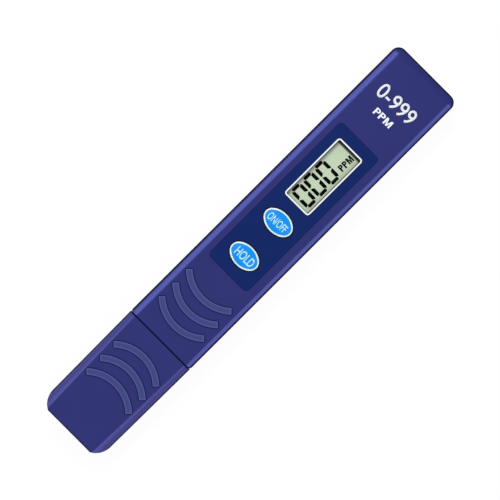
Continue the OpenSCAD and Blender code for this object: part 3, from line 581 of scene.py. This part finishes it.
def passive_parts():
    """Slightly mottled tan ceramic."""
    material, tree, shader = new_material("ceramic_parts")
    place = coordinates(tree)
    tone = noise(tree, place, 0.2, 3)
    paint = mix(tree, tone, rgb(176, 138, 92), rgb(196, 160, 112))
    roughness = spread(tree, tone, 0.35, 0.5)
    finish_surface(tree, shader, paint, tone, 0.2, 0.02, rounded_normal(tree, 0.08), roughness)
    return material


def lead_insulation():
    """Two insulated leads, one red and one black, told apart by the side they run on."""
    material, tree, shader = new_material("lead_insulation", Specular_IOR_Level=0.45)
    place = coordinates(tree)
    side = ramp(tree, split(tree, place)[1], -0.1, 0.1)
    paint = mix(tree, side, rgb(24, 24, 27), rgb(176, 22, 28))
    skin = noise(tree, place, 0.6, 3)
    roughness = spread(tree, skin, 0.35, 0.48)
    finish_surface(tree, shader, paint, skin, 0.2, 0.02, rounded_normal(tree, 0.05), roughness)
    return material


# The key caps' fourth value is the colour of their painted shade
key_cap = gloss_plastic("key_blue_cap", rgb(8, 145, 240), 0.22, rgb(20, 60, 140), 0.15)
switch_can = metal("switch_can", rgb(176, 178, 180), 0.3)
switch_plunger = gloss_plastic("plunger_plastic", rgb(214, 206, 190), 0.36)
nickel = metal("nickel_spring", rgb(196, 190, 176), 0.24)

finishes = {
    # Edge bands of housing, cap and back get painted highlights; rims and creases get painted shade
    "front_shell": moulded_plastic(
        "housing_plastic", HOUSING, edges=housing_highlights, polished=rgb(84, 90, 172),
        raised=GRIPS, lines=housing_shade_lines),
    "probe_cap": moulded_plastic(
        "cap_plastic", CAP, edges=cap_highlights, polished=rgb(82, 83, 158),
        raised=GRIPS, lines=cap_shade_lines, shoulder=(0.54, 0.38)),
    "back_shell": moulded_plastic(
        "back_plastic", HOUSING, edges=housing_highlights, polished=rgb(70, 74, 142)),
    "battery_door": moulded_plastic("door_plastic", HOUSING, grain=0.4),
    "probe_sleeve": moulded_plastic("neck_plastic", rgb(46, 50, 108), rough=0.34, grain=0.15),
    "front_overlay": overlay_film(),
    "display_lens": clear_lens(),
    "display_front_film": display_film(),
    "display_front_glass": gloss_plastic("display_glass_sheet", rgb(196, 214, 204), 0.08),
    "display_rear_glass": gloss_plastic("rear_glass_sheet", rgb(188, 206, 196), 0.08),
    "display_reflector": metal("reflector_foil", rgb(198, 202, 190), 0.3),
    "display_contact_strips": zebra_rubber(),
    "display_carrier": gloss_plastic("carrier_plastic", rgb(226, 226, 220), 0.34),
    "circuit_board": board_mask(),
    "chip_blob": epoxy("chip_resin", rgb(16, 16, 18), 0.28),
    "amplifier_chip": epoxy("chip_case", rgb(26, 26, 28), 0.4),
    "chip_passives": passive_parts(),
    "power_switch_base": switch_can,
    "hold_switch_base": switch_can,
    "trimmer_base": gloss_plastic("trimmer_plastic", rgb(40, 84, 178), 0.3),
    "trimmer_rotor": gloss_plastic("rotor_plastic", rgb(232, 232, 226), 0.28),
    "power_key": gloss_plastic("power_key_white", KEY_WHITE, key_x=POWER_X),
    "hold_key": gloss_plastic("hold_key_white", KEY_WHITE, key_x=HOLD_X),
    "power_key_inlay": key_cap,
    "hold_key_inlay": key_cap,
    "power_switch_plunger": switch_plunger,
    "hold_switch_plunger": switch_plunger,
    "battery_contact_positive": nickel,
    "battery_contact_negative": nickel,
    "battery_bridge": nickel,
    "button_cells": turned_steel(),
    "case_screws": metal("zinc_screw", rgb(150, 150, 152), 0.34, stretch=(1, 1, 1)),
    "probe_potting": epoxy("potting_resin", rgb(22, 24, 34), 0.24),
    "probe_pins": metal("electrode_steel", rgb(186, 184, 180), 0.2, stretch=(14, 1, 1)),
    "probe_leads": lead_insulation(),
}
for node, material in finishes.items():
    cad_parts[node].material_slots[0].material = material


# Prints


def new_piece(name, form, body, material):
    """Makes the piece that a bmesh describes, riding on a body."""
    bmesh.ops.recalc_face_normals(form, faces=form.faces[:])
    mesh = bpy.data.meshes.new(name)
    form.to_mesh(mesh)
    form.free()
    mesh.materials.append(material)
    piece = bpy.data.objects.new(name, mesh)
    scene.collection.objects.link(piece)
    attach(piece, body)


def rounded_outline(corners, radii, steps=5):
    """The points of a closed outline, its corners rounded by one radius or each by its own."""
    points = []
    for index, corner in enumerate(corners):
        here = Vector(corner)
        radius = radii[index] if isinstance(radii, tuple) else radii
        if not radius:
            points.append(here)
            continue
        before = (Vector(corners[index - 1]) - here).normalized()
        after = (Vector(corners[(index + 1) % len(corners)]) - here).normalized()
        half = before.angle(after) / 2
        reach = radius / math.tan(half)
        centre = here + (before + after).normalized() * radius / math.sin(half)
        start = (here + before * reach - centre).normalized()
        end = (here + after * reach - centre).normalized()
        for step in range(steps + 1):
            points.append(centre + start.slerp(end, step / steps) * radius)
    return points


def rectangle(length, width, centre):
    """The corners of a rectangle."""
    x, y = centre
    return [(x - length / 2, y - width / 2), (x + length / 2, y - width / 2),
            (x + length / 2, y + width / 2), (x - length / 2, y + width / 2)]


def text_faces(words, size, bold):
    """Flat faces of the words, as long and high as size says, centred on the origin."""
    curve = bpy.data.curves.new("words", "FONT")
    curve.body = words
    curve.offset = bold
    curve.resolution_u = 6
    holder = bpy.data.objects.new("words", curve)
    scene.collection.objects.link(holder)
    depsgraph = bpy.context.evaluated_depsgraph_get()
    mesh = bpy.data.meshes.new_from_object(holder.evaluated_get(depsgraph))
    bpy.data.objects.remove(holder)
    form = bmesh.new()
    form.from_mesh(mesh)
    bmesh.ops.remove_doubles(form, verts=form.verts[:], dist=SAME_POINT)
    low = [min(v.co[axis] for v in form.verts) for axis in (0, 1)]
    high = [max(v.co[axis] for v in form.verts) for axis in (0, 1)]
    for v in form.verts:
        for axis in (0, 1):
            share = (v.co[axis] - low[axis]) / (high[axis] - low[axis])
            v.co[axis] = (share - 0.5) * size[axis]
        v.co.z = 0
    return form


def raise_faces(form, surface):
    """Makes flat faces into a thin solid that follows a surface's height."""
    grown = bmesh.ops.extrude_face_region(form, geom=form.faces[:])["geom"]
    tops = {v for v in grown if isinstance(v, bmesh.types.BMVert)}
    for v in form.verts:
        v.co.z = surface(v.co.x, v.co.y) + (INK if v in tops else -SUNK)


def cut_small(form, step):
    """Cuts faces on a grid, so that they can follow a curved surface."""
    for axis in (0, 1):
        reach = max(abs(v.co[axis]) for v in form.verts)
        for index in range(-int(reach / step), int(reach / step) + 1):
            place, direction = Vector((0, 0, 0)), Vector((0, 0, 0))
            place[axis], direction[axis] = index * step, 1
            geometry = form.verts[:] + form.edges[:] + form.faces[:]
            bmesh.ops.bisect_plane(form, geom=geometry, plane_co=place, plane_no=direction)


def unit_faces(size, stem, bar):
    """PPM in bold capitals, as long and high as size says, centred on the origin.

    The letters are drawn one high, and stem and bar are the widths of their strokes.
    """
    inside, bowl_top = P_WIDTH - stem, 1 - bar
    bowl = [(stem, 1), (P_WIDTH, 1), (P_WIDTH, P_MIDDLE), (stem, P_MIDDLE),
            (stem, P_MIDDLE + bar), (inside, P_MIDDLE + bar), (inside, bowl_top), (stem, bowl_top)]
    letter_p = [rectangle(stem, 1, (stem / 2, 0.5)), rounded_outline(bowl, BOWL_RADII)]
    leg, notch, valley = stem + 0.01, 1.28 * stem, 2.4 * stem - 0.2
    letter_m = [(0, 0), (leg, 0), (leg, M_FORK), (0.5 - M_FOOT, 0), (0.5 + M_FOOT, 0),
                (1 - leg, M_FORK), (1 - leg, 0), (1, 0), (1, 1), (1 - notch, 1),
                (0.5, valley), (notch, 1), (0, 1)]
    form = bmesh.new()
    letters = ((0, 1, letter_p), (P_STEP, 1, letter_p), (M_START, M_WIDTH, [letter_m]))
    for start, width, outlines in letters:
        for outline in outlines:
            form.faces.new([form.verts.new((start + width * x, y, 0)) for x, y in outline])
    length = M_START + M_WIDTH
    for v in form.verts:
        v.co = ((v.co.x / length - 0.5) * size[0], (v.co.y - 0.5) * size[1], 0)
    return form


# Words are printed across the pen, with their tops towards the top end
ACROSS = Matrix.Rotation(-math.pi / 2, 4, "Z")


def print_across(name, form, centre_x, material):
    """Faces printed across the pen on the housing's face."""
    form.transform(Matrix.Translation((centre_x, 0, 0)) @ ACROSS)
    raise_faces(form, lambda x, y: FACE_Z)
    new_piece(name, form, "housing", material)


def words_on_key(name, words, size, key_x, shift, body, material):
    """Words that follow the key's dome, moved from its crown by shift."""
    form = text_faces(words, size, KEY_WORDS_BOLD)
    form.transform(Matrix.Translation((*shift, 0)) @ ACROSS)
    cut_small(form, DOME_STEP)
    raise_faces(form, lambda x, y: KEY_TOP_Z - DOME_R + math.sqrt(DOME_R**2 - x**2 - y**2))
    form.transform(Matrix.Translation((key_x, 0, 0)))
    new_piece(name, form, body, material)


def printed_line(name, outer, inner, centre_x, material):
    """A closed line on the overlay between two outlines that have as many points."""
    form = bmesh.new()
    outside, inside = ([form.verts.new((x + centre_x, y, 0)) for x, y in outline]
                       for outline in (outer, inner))
    for index in range(len(outer)):
        form.faces.new((outside[index - 1], outside[index], inside[index], inside[index - 1]))
    raise_faces(form, lambda x, y: OVERLAY_Z)
    new_piece(name, form, "housing", material)


def window_outline(grow):
    """Outline inside the white line round the window, grown outwards."""
    length, width = FRAME_SIZE
    box = rectangle(length + 2 * grow, width + 2 * grow, (0, FRAME_Y))
    return rounded_outline(box, FRAME_CORNER + grow)


def window_frame(white, dark):
    """The white line round the display window, and a thin line of painted shade outside it, made as
    dark ink.
    """
    inner, edge = window_outline(0), window_outline(FRAME_LINE)
    outer = window_outline(FRAME_LINE + FRAME_SHADE)
    printed_line("window_frame_line", edge, inner, FRAME_X, white)
    printed_line("window_frame_shade", outer, edge, FRAME_X, dark)


def key_oval(grow):
    """Outline of a key's oval, grown outwards: end arcs and side arcs that meet smoothly."""
    half_l, half_w = KEY_SIZE[0] / 2, KEY_SIZE[1] / 2
    end_r = KEY_END_SHARE * half_l
    side_r = (half_l**2 + (half_w - end_r)**2 - end_r**2) / (2 * (half_l - end_r))
    side_x, end_y = side_r - half_l, half_w - end_r
    side_turn = math.atan2(end_y, side_x)
    end_turn = math.pi / 2 - side_turn
    arcs = (
        ((-side_x, 0), side_r, 0, side_turn),
        ((0, end_y), end_r, math.pi / 2, end_turn),
        ((side_x, 0), side_r, math.pi, side_turn),
        ((0, -end_y), end_r, 1.5 * math.pi, end_turn),
    )
    points = []
    for centre, radius, middle, turn in arcs:
        for step in range(OVAL_STEPS):
            angle = middle + turn * (2 * step / OVAL_STEPS - 1)
            points.append((centre[0] + (radius + grow) * math.cos(angle),
                           centre[1] + (radius + grow) * math.sin(angle)))
    return points


def key_shade_ring(name, centre_x, material):
    """A line of painted shade round a key's hole, made as dark ink."""
    outer, inner = key_oval(KEY_SHADE_GAP + KEY_SHADE_WIDTH), key_oval(KEY_SHADE_GAP)
    printed_line(name, outer, inner, centre_x, material)


def nought_segments():
    """Outlines of a nought's six segments, clockwise from the top, centred on the origin."""
    w, h = DIGIT[0] / 2, DIGIT[1] / 2
    tip, flat = w - 0.56 * STROKE, w - 0.86 * STROKE
    bar_middle, bar_inside = h - 0.45 * BAR, h - BAR
    inside, slant = w - STROKE, 0.45 * STROKE + 2 * JOINT
    post_top, post_point = h - STROKE - JOINT, h - 0.55 * STROKE - JOINT

    def bar(side):
        return [(-tip, side * bar_middle), (-flat, side * h), (flat, side * h),
                (tip, side * bar_middle), (flat, side * bar_inside), (-flat, side * bar_inside)]

    def post(side, end):
        corners = ((w, post_top), (w - 0.25 * STROKE, post_point), (inside, post_top),
                   (inside, slant), (w - 0.3 * STROKE, 2 * JOINT), (w, 2.5 * JOINT))
        return [(side * x, end * y) for x, y in corners]

    return [bar(1), post(1, 1), post(1, -1), bar(-1), post(-1, -1), post(-1, 1)]


def display_nought(name, centre_x, material):
    """A nought on the display's film."""
    form = bmesh.new()
    for corners in nought_segments():
        outline = rounded_outline(corners, SEGMENT_CORNER, steps=3)
        form.faces.new([form.verts.new((p.x + centre_x, p.y + DIGIT_Y, 0)) for p in outline])
    raise_faces(form, lambda x, y: FILM_Z)
    new_piece(name, form, "housing", material)


def display_unit(material):
    """The unit beside the noughts."""
    form = unit_faces(DISPLAY_UNIT_SIZE, *DISPLAY_UNIT_STROKES)
    form.transform(Matrix.Translation(DISPLAY_UNIT_PLACE))
    raise_faces(form, lambda x, y: FILM_Z)
    new_piece("display_unit", form, "housing", material)


white_ink = printed_ink("white_ink", rgb(245, 250, 254))
key_ink = printed_ink("key_ink", rgb(180, 243, 254))
# Ink for the lines of painted shade round the window and the keys
shade_ink = printed_ink("shade_ink", rgb(6, 9, 40))
display_ink = printed_ink("display_black", rgb(0, 1, 0), 0.02)

window_frame(white_ink, shade_ink)
# Lines of painted shade round the keys' holes
key_shade_ring("power_key_shade", POWER_X, shade_ink)
key_shade_ring("hold_key_shade", HOLD_X, shade_ink)
print_across("range_print", text_faces("0-999", RANGE_SIZE, RANGE_BOLD), RANGE_X, white_ink)
print_across("unit_print", unit_faces(UNIT_SIZE, *UNIT_STROKES), UNIT_X, white_ink)
words_on_key("power_lettering", "ON/OFF", POWER_WORDS_SIZE, POWER_X, POWER_WORDS_SHIFT,
             "power_button", key_ink)
words_on_key("hold_lettering", "HOLD", HOLD_WORDS_SIZE, HOLD_X, HOLD_WORDS_SHIFT,
             "hold_button", key_ink)
for index, centre_x in enumerate(DIGIT_CENTRES):
    display_nought(f"display_digit_{index + 1}", centre_x, display_ink)
display_unit(display_ink)


# Studio


def floor_material():
    """Near-white paper that the camera sees as white, with the object's soft shadow kept."""
    material = bpy.data.materials.new("paper_floor")
    material.use_nodes = True
    tree = material.node_tree
    tree.nodes.remove(tree.nodes["Principled BSDF"])
    path = add(tree, "LightPath").outputs
    seen = math_node(tree, "ADD", path["Is Camera Ray"], path["Is Glossy Ray"])
    seen = math_node(tree, "ADD", seen, path["Is Transmission Ray"])
    inputs = {0: seen, 1: FLOOR_WHITE_SHARE}
    share = add(tree, "Math", inputs, operation="MULTIPLY", use_clamp=True).outputs[0]
    paper = add(tree, "BsdfDiffuse", {"Color": (0.6, 0.6, 0.6, 1)})
    white = add(tree, "Emission", {"Color": WHITE, "Strength": FLOOR_WHITE_LEVEL})
    blend = add(tree, "MixShader", {0: share, 1: paper.outputs[0], 2: white.outputs[0]})
    tree.links.new(blend.outputs[0], tree.nodes["Material Output"].inputs["Surface"])
    return material


def add_floor():
    """A wide floor just under the pen."""
    form = bmesh.new()
    bmesh.ops.create_grid(form, x_segments=1, y_segments=1, size=FLOOR_REACH)
    mesh = bpy.data.meshes.new("floor")
    form.to_mesh(mesh)
    form.free()
    mesh.materials.append(floor_material())
    floor = bpy.data.objects.new("floor", mesh)
    floor.location.z = -FLOOR_GAP
    scene.collection.objects.link(floor)


def add_lamp(name, azimuth, elevation, away, size, level):
    """A soft lamp aimed at the pen. A white card that faces it looks this bright by its light."""
    lamp = bpy.data.lights.new(name, "AREA")
    lamp.shape = "RECTANGLE"
    lamp.size, lamp.size_y = size
    lamp.energy = level * (math.pi * away) ** 2
    a, e = math.radians(azimuth), math.radians(elevation)
    towards = Vector((math.cos(a) * math.cos(e), math.sin(a) * math.cos(e), math.sin(e)))
    holder = bpy.data.objects.new(name, lamp)
    holder.location = towards * away
    holder.rotation_euler = towards.to_track_quat("Z", "Y").to_euler()
    scene.collection.objects.link(holder)


def add_world():
    """Even white light from all round."""
    world = bpy.data.worlds.new("studio")
    world.use_nodes = True
    background = world.node_tree.nodes["Background"]
    background.inputs["Color"].default_value = WHITE
    background.inputs["Strength"].default_value = WORLD_LEVEL
    scene.world = world


def add_camera():
    """Straight above the pen with a long lens, turned so that the pen lies as in the photograph."""
    camera = bpy.data.cameras.new("camera")
    camera.lens = camera.sensor_width * (CAMERA_HEIGHT - OUTLINE_HEIGHT) / PHOTO_WIDTH
    camera.clip_start, camera.clip_end = CAMERA_CLIP
    holder = bpy.data.objects.new("camera", camera)
    turned = Matrix.Rotation(-PEN_ANGLE, 4, "Z")
    holder.location = turned @ Vector((*PHOTO_CENTRE, CAMERA_HEIGHT))
    holder.rotation_euler = (0, 0, -PEN_ANGLE)
    scene.collection.objects.link(holder)
    scene.camera = holder


add_floor()
for name, settings in LAMPS.items():
    add_lamp(name, *settings)
add_world()
add_camera()
scene.view_settings.view_transform = "Standard"
